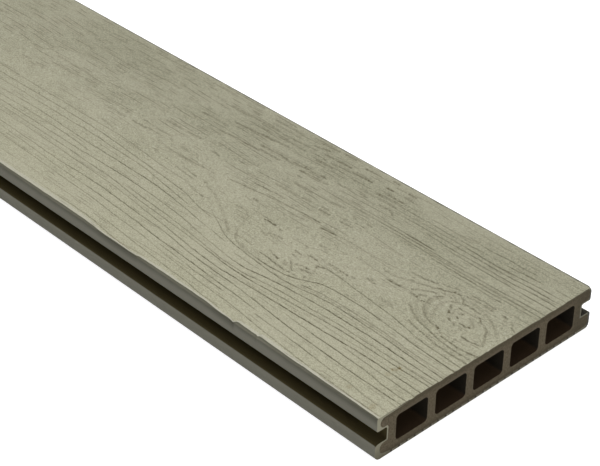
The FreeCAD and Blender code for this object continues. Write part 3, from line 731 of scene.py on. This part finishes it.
# Materials
class Graph:
    """The nodes of one material or world. A value is a number, a colour or another node's output."""

    def __init__(self, owner, output):
        owner.use_nodes = True
        self.nodes = owner.node_tree.nodes
        self.links = owner.node_tree.links
        self.nodes.clear()
        self.output = self.nodes.new(output)

    def put(self, value, socket):
        if isinstance(value, tuple):
            socket.default_value = (*value, 1.0)
        elif isinstance(value, (int, float)):
            socket.default_value = value
        elif value is not None:
            self.links.new(value, socket)

    def shader(self, kind, values):
        node = self.nodes.new(kind)
        for name, value in values.items():
            self.put(value, node.inputs[name])
        return node.outputs[0]

    def finish(self, shader):
        self.links.new(shader, self.output.inputs["Surface"])

    def math(self, operation, a, b=None, c=None, clamp=False):
        node = self.nodes.new("ShaderNodeMath")
        node.operation = operation
        node.use_clamp = clamp
        for socket, value in zip(node.inputs, (a, b, c)):
            self.put(value, socket)
        return node.outputs[0]

    def times(self, first, *others):
        for other in others:
            first = self.math("MULTIPLY", first, other)
        return first

    def most(self, first, *others):
        for other in others:
            first = self.math("MAXIMUM", first, other)
        return first

    def size(self, value):
        return self.math("ABSOLUTE", value)

    def fade(self, value, low, high, to_low=0.0, to_high=1.0):
        """A smooth step from to_low, where the value is low, to to_high, where it is high."""
        node = self.nodes.new("ShaderNodeMapRange")
        node.interpolation_type = "SMOOTHSTEP"
        self.links.new(value, node.inputs["Value"])
        for name, bound in zip(("From Min", "From Max", "To Min", "To Max"), (low, high, to_low, to_high)):
            node.inputs[name].default_value = bound
        return node.outputs["Result"]

    def place(self, scale=(1, 1, 1)):
        """Object coordinates in millimetres, squeezed by scale along each axis."""
        coords = self.nodes.new("ShaderNodeTexCoord")
        mapping = self.nodes.new("ShaderNodeMapping")
        self.links.new(coords.outputs["Object"], mapping.inputs["Vector"])
        mapping.inputs["Scale"].default_value = [s / MM for s in scale]
        return mapping.outputs["Vector"]

    def noise(self, scale, detail, roughness):
        node = self.nodes.new("ShaderNodeTexNoise")
        self.links.new(self.place(scale), node.inputs["Vector"])
        for name, value in (("Scale", 1.0), ("Detail", detail), ("Roughness", roughness)):
            node.inputs[name].default_value = value
        return node.outputs["Fac"]

    def split(self, vector):
        node = self.nodes.new("ShaderNodeSeparateXYZ")
        self.links.new(vector, node.inputs[0])
        return node.outputs

    def normal(self):
        return self.split(self.nodes.new("ShaderNodeNewGeometry").outputs["True Normal"])

    def attribute(self, name):
        node = self.nodes.new("ShaderNodeAttribute")
        node.attribute_name = name
        return node.outputs["Fac"]

    def mix(self, factor, a, b):
        """Colour a where the factor is 0 and b where it is 1."""
        node = self.nodes.new("ShaderNodeMix")
        node.data_type = "RGBA"
        self.put(factor, [s for s in node.inputs if s.name == "Factor" and s.type == "VALUE"][0])
        for socket, value in zip([s for s in node.inputs if s.type == "RGBA"], (a, b)):
            self.put(value, socket)
        return [s for s in node.outputs if s.type == "RGBA"][0]

    def bump(self, height, distance):
        node = self.nodes.new("ShaderNodeBump")
        node.inputs["Distance"].default_value = distance * MM
        self.links.new(height, node.inputs["Height"])
        return node.outputs["Normal"]

    def matt(self, colour, roughness, normal):
        """The one surface of a piece: matt, with hardly any gloss."""
        self.finish(self.shader("ShaderNodeBsdfPrincipled", {
            "Base Color": colour, "Roughness": roughness, "Specular IOR Level": 0.05, "Normal": normal}))

    def seen_or_lit(self, seen, lit):
        """One shader for rays that see it, straight or reflected, and one for those that light the board."""
        path = self.nodes.new("ShaderNodeLightPath").outputs
        mixer = self.nodes.new("ShaderNodeMixShader")
        sees = self.most(path["Is Camera Ray"], path["Is Glossy Ray"], path["Is Transmission Ray"])
        for value, socket in zip((sees, lit, seen), mixer.inputs):
            self.links.new(value, socket)
        self.finish(mixer.outputs[0])


CAP_COLOUR = (0.468, 0.452, 0.33)
CAP_DARK = (0.298, 0.288, 0.207)
# painted shade: the right half's tones, darker for light falling off across the top
CAP_COLOUR_RIGHT_SHADED = (0.388, 0.378, 0.275)
CAP_DARK_RIGHT_SHADED = (0.222, 0.216, 0.154)
CAP_FIBRE = (0.25, 0.24, 0.17)
CAP_LIGHT = (0.46, 0.44, 0.335)
# painted highlight on the raised rim of the embossing
CAP_RIM_HIGHLIGHT = (0.5, 0.485, 0.405)
# painted shade of the smooth margin and of the crease under the rim
CAP_MARGIN_SHADE = (0.167, 0.162, 0.122)
CAP_CREASE_SHADE = (0.112, 0.108, 0.08)
# the lips' sides: partly their own greyer tone, partly painted shade, as the sides get less light than the top
CAP_SIDE_TONE_AND_SHADE = (0.288, 0.28, 0.226)
# painted shade in the grooves under the upper lips
CAP_GROOVE_SHADE_LEFT = (0.07, 0.056, 0.024)
CAP_GROOVE_SHADE_RIGHT = (0.05, 0.046, 0.034)
CAP_CUT = (0.41, 0.39, 0.285)
CAP_CUT_LOW = (0.23, 0.215, 0.15)
CAP_CUT_RIGHT = (0.24, 0.23, 0.17)
CAP_CUT_NOSE = (0.1, 0.1, 0.092)
# painted shade along the sawn end's top edge
CAP_CUT_TOP_SHADE = (0.13, 0.115, 0.075)
# painted highlight of the pale flecks
CAP_FLECK_HIGHLIGHT = (0.62, 0.6, 0.48)
# painted shade in and over the ribs' grooves
CAP_RIB_SHADE = (0.05, 0.044, 0.028)
CAP_BURR = (0.60, 0.58, 0.48)
# the marks' own darker colour together with painted shade in their recesses
LINE_COLOUR_AND_SHADE = (0.088, 0.073, 0.038)
STAIN_COLOUR = (0.19, 0.14, 0.05)
MARK_WIDTH = 0.45       # half the width of a darkened line, its own colour and painted shade


def mark_level(g, sway, speckle):
    """1 in the middle of the embossed marks and 0 beside them, with breaks along them."""
    levels = []
    for layer in ("first", "second", "fine"):
        off = g.size(g.math("ADD", g.attribute(layer + "_off"), sway))
        levels.append(g.times(g.fade(off, MARK_WIDTH, 0.1), g.attribute(layer + "_strength")))
    ragged = g.math("MULTIPLY_ADD", speckle, 2.6, g.attribute("stroke_off"))
    levels.append(g.times(g.fade(ragged, 2.45, 1.3), g.attribute("stroke_strength")))
    breaks = g.fade(g.noise((0.9, 0.9, 0.9), 3.0, 0.55), 0.34, 0.56, 0.5, 1.0)
    return g.math("MULTIPLY", g.most(*levels), breaks, clamp=True)


def grained_colour(g, y, grit, fibre):
    """Grit, fibres, clouds and flecks of the cap's embossed top, with painted shade on its right half and
    painted highlights in its pale flecks.
    """
    # painted shade: the top darkens towards its right half, standing in for light falling off across it
    painted_shade_rightward = g.fade(y, -60.0, 60.0)
    darker = g.mix(painted_shade_rightward, CAP_DARK, CAP_DARK_RIGHT_SHADED)
    lighter = g.mix(painted_shade_rightward, CAP_COLOUR, CAP_COLOUR_RIGHT_SHADED)
    tone = g.mix(g.fade(grit, 0.36, 0.62), darker, lighter)
    tone = g.mix(g.fade(fibre, 0.6, 0.78, 0.0, 0.4), tone, CAP_FIBRE)
    cloud = g.noise((0.02, 0.05, 0.05), 2.0, 0.5)
    tone = g.mix(g.fade(cloud, 0.3, 0.7, 0.0, 0.3), tone, CAP_LIGHT)
    # painted highlights: pale flecks near the middle stand in for glints on the embossed bumps
    flecks = g.noise((0.7, 1.1, 1.1), 2.0, 0.5)
    middle = g.fade(g.size(y), 45.0, 20.0)
    tone = g.mix(g.times(g.fade(flecks, 0.58, 0.72, 0.0, 0.35), middle), tone, CAP_FLECK_HIGHLIGHT)
    # dark specks near the middle: darker colour with painted shade
    return g.mix(g.times(g.fade(flecks, 0.36, 0.27, 0.0, 0.5), middle), tone, LINE_COLOUR_AND_SHADE)


def smooth_colour(g, inside, y, z):
    """Margins, lips' sides and grooves, which have no grain: painted shade darkens the grooves, the margins
    and the crease, and in part the sides.
    """
    # painted shade: the smooth margin darkens where the edge turns away from the light, darkest in the crease
    # under the rim
    tone = g.mix(g.fade(inside, -5.0, -1.2), CAP_SIDE_TONE_AND_SHADE, CAP_MARGIN_SHADE)
    tone = g.mix(g.fade(inside, -1.6, -0.6), tone, CAP_CREASE_SHADE)
    # painted shade: the grooves and the lower lips' noses are darkened as if in the upper lips' shadow
    groove_shade_mask = g.times(g.fade(g.size(y), HALF - 0.3, HALF - 0.65),
                        g.fade(z, GROOVE_FLOOR - 1.2, GROOVE_FLOOR - 0.6),
                        g.fade(z, GROOVE_TOP + 0.6, GROOVE_TOP))
    groove = g.mix(g.fade(y, -10.0, 10.0), CAP_GROOVE_SHADE_LEFT, CAP_GROOVE_SHADE_RIGHT)
    return g.mix(groove_shade_mask, tone, groove)


def sawn_cap_colour(g, y, z, speckle):
    """The cap's rim at the sawn ends, with painted shade over the gaps and pale burrs at the ribs under the
    board.
    """
    sawn = g.mix(g.fade(z, 0.0, 14.0), CAP_CUT_LOW, CAP_CUT)
    sawn = g.mix(g.fade(y, -10.0, 10.0), sawn, CAP_CUT_RIGHT)
    sawn = g.mix(g.fade(y, UPPER_HALF - 1.3, UPPER_HALF - 0.6), sawn, CAP_CUT_NOSE)
    # painted shade: a dark line along the top edge of the sawn end
    top_edge_shade = g.times(g.fade(z, CORE_TOP - 0.4, CORE_TOP), g.fade(y, 8 - HALF, 16 - HALF))
    sawn = g.mix(top_edge_shade, sawn, CAP_CUT_TOP_SHADE)
    low = g.times(g.fade(z, RIB_DEPTH + 0.6, RIB_DEPTH + 0.2), g.fade(g.size(y), HALF - 7, HALF - 8))
    step = g.math("FRACT", g.math("DIVIDE", y, RIB_PITCH))
    over_rib = g.size(g.math("SUBTRACT", step, 0.5))
    beside_rib = g.size(g.math("SUBTRACT", step, 0.68))
    # painted shade over each rib's groove on the sawn face
    sawn = g.mix(g.times(g.fade(over_rib, 0.16, 0.09), low), sawn, CAP_RIB_SHADE)
    burr = g.times(g.fade(beside_rib, 0.12, 0.05), g.fade(speckle, 0.4, 0.6), low)
    return g.mix(burr, sawn, CAP_BURR)


def cap_material():
    material = bpy.data.materials.new("cap_embossed")
    g = Graph(material, "ShaderNodeOutputMaterial")
    _, y, z = g.split(g.place())
    sway = g.math("MULTIPLY_ADD", g.noise((0.3, 0.8, 0.8), 2.0, 0.55), 0.8, -0.4)
    speckle = g.noise((0.9, 1.0, 1.0), 3.0, 0.6)
    grit = g.noise((1.7, 2.2, 2.2), 3.0, 0.6)
    fibre = g.noise((0.12, 1.2, 1.2), 2.0, 0.5)
    deepest = mark_level(g, sway, speckle)

    # the embossed top inside its margin, with a painted highlight along its rim, a raised ridge lit from above
    inside = g.math("MULTIPLY_ADD", sway, 0.5, g.attribute("margin_off"))
    inside_rim = g.math("MULTIPLY_ADD", sway, 0.8, g.attribute("rim_off"))
    rim = g.times(g.fade(inside_rim, 0.4, -0.4), g.attribute("pale"))
    tone = g.mix(rim, grained_colour(g, y, grit, fibre), CAP_RIM_HIGHLIGHT)
    tone = g.mix(g.fade(inside, -0.1, 0.1), smooth_colour(g, inside, y, z), tone)

    # the ribs under the board with painted shade in their grooves, the sawn ends, stains and marks
    rib_shade_mask = g.times(g.fade(z, 0.02, 0.3), g.fade(z, RIB_DEPTH + 0.15, RIB_DEPTH + 0.05),
                     g.fade(g.size(y), HALF - 7, HALF - 8))
    tone = g.mix(rib_shade_mask, tone, CAP_RIB_SHADE)
    cut = g.fade(g.size(g.normal()[0]), 0.85, 0.95)
    tone = g.mix(cut, tone, sawn_cap_colour(g, y, z, speckle))
    stain = g.times(g.fade(speckle, 0.35, 0.55, 0.3, 1.0), g.attribute("stain"))
    tone = g.mix(stain, tone, STAIN_COLOUR)
    # the embossed marks darkened: partly their own colour, partly painted shade in their recesses
    tone = g.mix(deepest, tone, LINE_COLOUR_AND_SHADE)
    height = g.math("MULTIPLY_ADD", deepest, -1.2, grit)
    height = g.math("MULTIPLY_ADD", fibre, 0.6, height)
    g.matt(tone, 0.62, g.bump(height, 0.22))
    return material


CORE_CUT = (0.198, 0.163, 0.109)
CORE_CUT_LOW = (0.112, 0.093, 0.062)
CORE_EDGE = (0.085, 0.073, 0.048)
# painted light and shade of the chambers: lit floors, shaded walls and ceilings
CORE_FLOOR_LIT = (0.058, 0.037, 0.021)
CORE_WALL_SHADED = (0.03, 0.025, 0.018)


def core_material():
    material = bpy.data.materials.new("core_sawn")
    g = Graph(material, "ShaderNodeOutputMaterial")
    _, y, z = g.split(g.place())
    facing = g.normal()
    cut = g.fade(g.size(facing[0]), 0.4, 0.6)
    grit = g.noise((1.0, 1.0, 1.0), 4.0, 0.6)
    sawn = g.mix(g.fade(grit, 0.3, 0.7), CORE_CUT_LOW, CORE_CUT)
    edge = g.most(g.fade(z, CHAMBER_FLOOR - 1, CHAMBER_FLOOR - 3.5, 0.0, 0.55),
                  g.fade(z, CHAMBER_CEILING + 0.5, CORE_TOP - 1, 0.0, 0.5),
                  g.fade(y, HALF - 20, HALF - 6, 0.0, 0.6))
    sawn = g.mix(edge, sawn, CORE_EDGE)
    # painted light and shade: the chambers' upward floors lit, their walls and ceilings shaded, though all are
    # one material
    chamber = g.mix(g.fade(facing[2], 0.2, 0.9), CORE_WALL_SHADED, CORE_FLOOR_LIT)
    g.matt(g.mix(cut, chamber, sawn), 0.8, g.bump(grit, 0.12))
    return material


cap = build_cap()
core = build_core()
for piece, node, material in ((cap, "cap", cap_material()), (core, "core", core_material())):
    finish_mesh(piece.data)
    piece.data.materials.append(material)
    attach(piece, "root")
    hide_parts(node)


# Floor, light and camera
FLOOR_REACH = 12.0      # metres each way
FLOOR_WHITE = 0.93
FLOOR_GREY = (0.55, 0.55, 0.55)
FLOOR_SHADE = (0.45, 0.45, 0.45)
# painted shade of the floor under the board
FLOOR_UNDER_SHADE = (0.06, 0.055, 0.045)
AMBIENT = 0.08


def floor_material():
    """White to whoever looks at it, with the board's shadow on it, and grey in what it throws back."""
    material = bpy.data.materials.new("floor_pale")
    g = Graph(material, "ShaderNodeOutputMaterial")
    glow = g.nodes.new("ShaderNodeAddShader")
    g.links.new(g.shader("ShaderNodeEmission", {"Strength": FLOOR_WHITE}), glow.inputs[0])
    g.links.new(g.shader("ShaderNodeBsdfDiffuse", {"Color": FLOOR_SHADE}), glow.inputs[1])
    g.seen_or_lit(glow.outputs[0], g.shader("ShaderNodeBsdfDiffuse", {"Color": FLOOR_GREY}))
    return material


# painted shade: the floor under the board is dark, seen through the ribs' grooves
def under_shade_material():
    material = bpy.data.materials.new("floor_shade_under_board")
    g = Graph(material, "ShaderNodeOutputMaterial")
    g.finish(g.shader("ShaderNodeBsdfPrincipled", {"Base Color": FLOOR_UNDER_SHADE, "Roughness": 0.8}))
    return material


def make_floor():
    """A wide floor, its own white glow left off under the board, where it is painted dark as shade."""
    far, near = (NEAR_END - LENGTH) * MM, NEAR_END * MM
    left, right = (LEFT_BOTTOM_RADIUS - HALF) * MM, (HALF - RIGHT_BOTTOM_RADIUS) * MM
    r = FLOOR_REACH
    corners = [(-r, -r, 0), (r, -r, 0), (r, r, 0), (-r, r, 0),
               (far, left, 0), (near, left, 0), (near, right, 0), (far, right, 0)]
    around = [(k, (k + 1) % 4, 4 + (k + 1) % 4, 4 + k) for k in range(4)]
    floor = object_from_faces("floor", corners, around + [(4, 5, 6, 7)])
    floor.data.materials.append(floor_material())
    floor.data.materials.append(under_shade_material())
    floor.data.polygons[4].material_index = 1


def add_lamp(name, kind, energy, place, target=(0, 0, 0)):
    """A lamp at a place that shines towards the target; a sun lights the whole board evenly from there."""
    data = bpy.data.lights.new(name, kind)
    data.energy = energy
    lamp = bpy.data.objects.new(name, data)
    lamp.location = place
    lamp.rotation_euler = (Vector(target) - Vector(place)).to_track_quat("-Z", "Y").to_euler()
    bpy.context.scene.collection.objects.link(lamp)
    return data


def make_world():
    world = bpy.data.worlds.new("studio")
    bpy.context.scene.world = world
    g = Graph(world, "ShaderNodeOutputWorld")
    backdrop, ambient = (g.shader("ShaderNodeBackground", {"Color": (1.0, 1.0, 1.0), "Strength": strength})
                         for strength in (1.0, AMBIENT))
    g.seen_or_lit(backdrop, ambient)


def make_camera():
    data = bpy.data.cameras.new("camera")
    data.sensor_width = 36.0
    data.lens = 106.7
    data.clip_end = 50
    camera = bpy.data.objects.new("camera", data)
    place = Vector((1.48473, -0.48036, 0.49615))
    forward = Vector((-0.59992, 0.57018, -0.56125))
    roll = math.radians(-0.79)
    turn = forward.to_track_quat("-Z", "Y").to_matrix().to_4x4()
    camera.matrix_world = Matrix.Translation(place) @ turn @ Matrix.Rotation(-roll, 4, "Z")
    bpy.context.scene.collection.objects.link(camera)
    bpy.context.scene.camera = camera


make_floor()
make_world()
add_lamp("key", "SUN", 2.5, (-0.2, 0.12, 1)).angle = math.radians(23)
add_lamp("fill", "SUN", 0.77, (1, -0.24, 0.4)).angle = math.radians(10)
add_lamp("left", "AREA", 1.0, (1.25, -0.45, 0.75), (1, 0, 0)).size = 0.4
make_camera()
bpy.context.scene.view_settings.view_transform = "Standard"
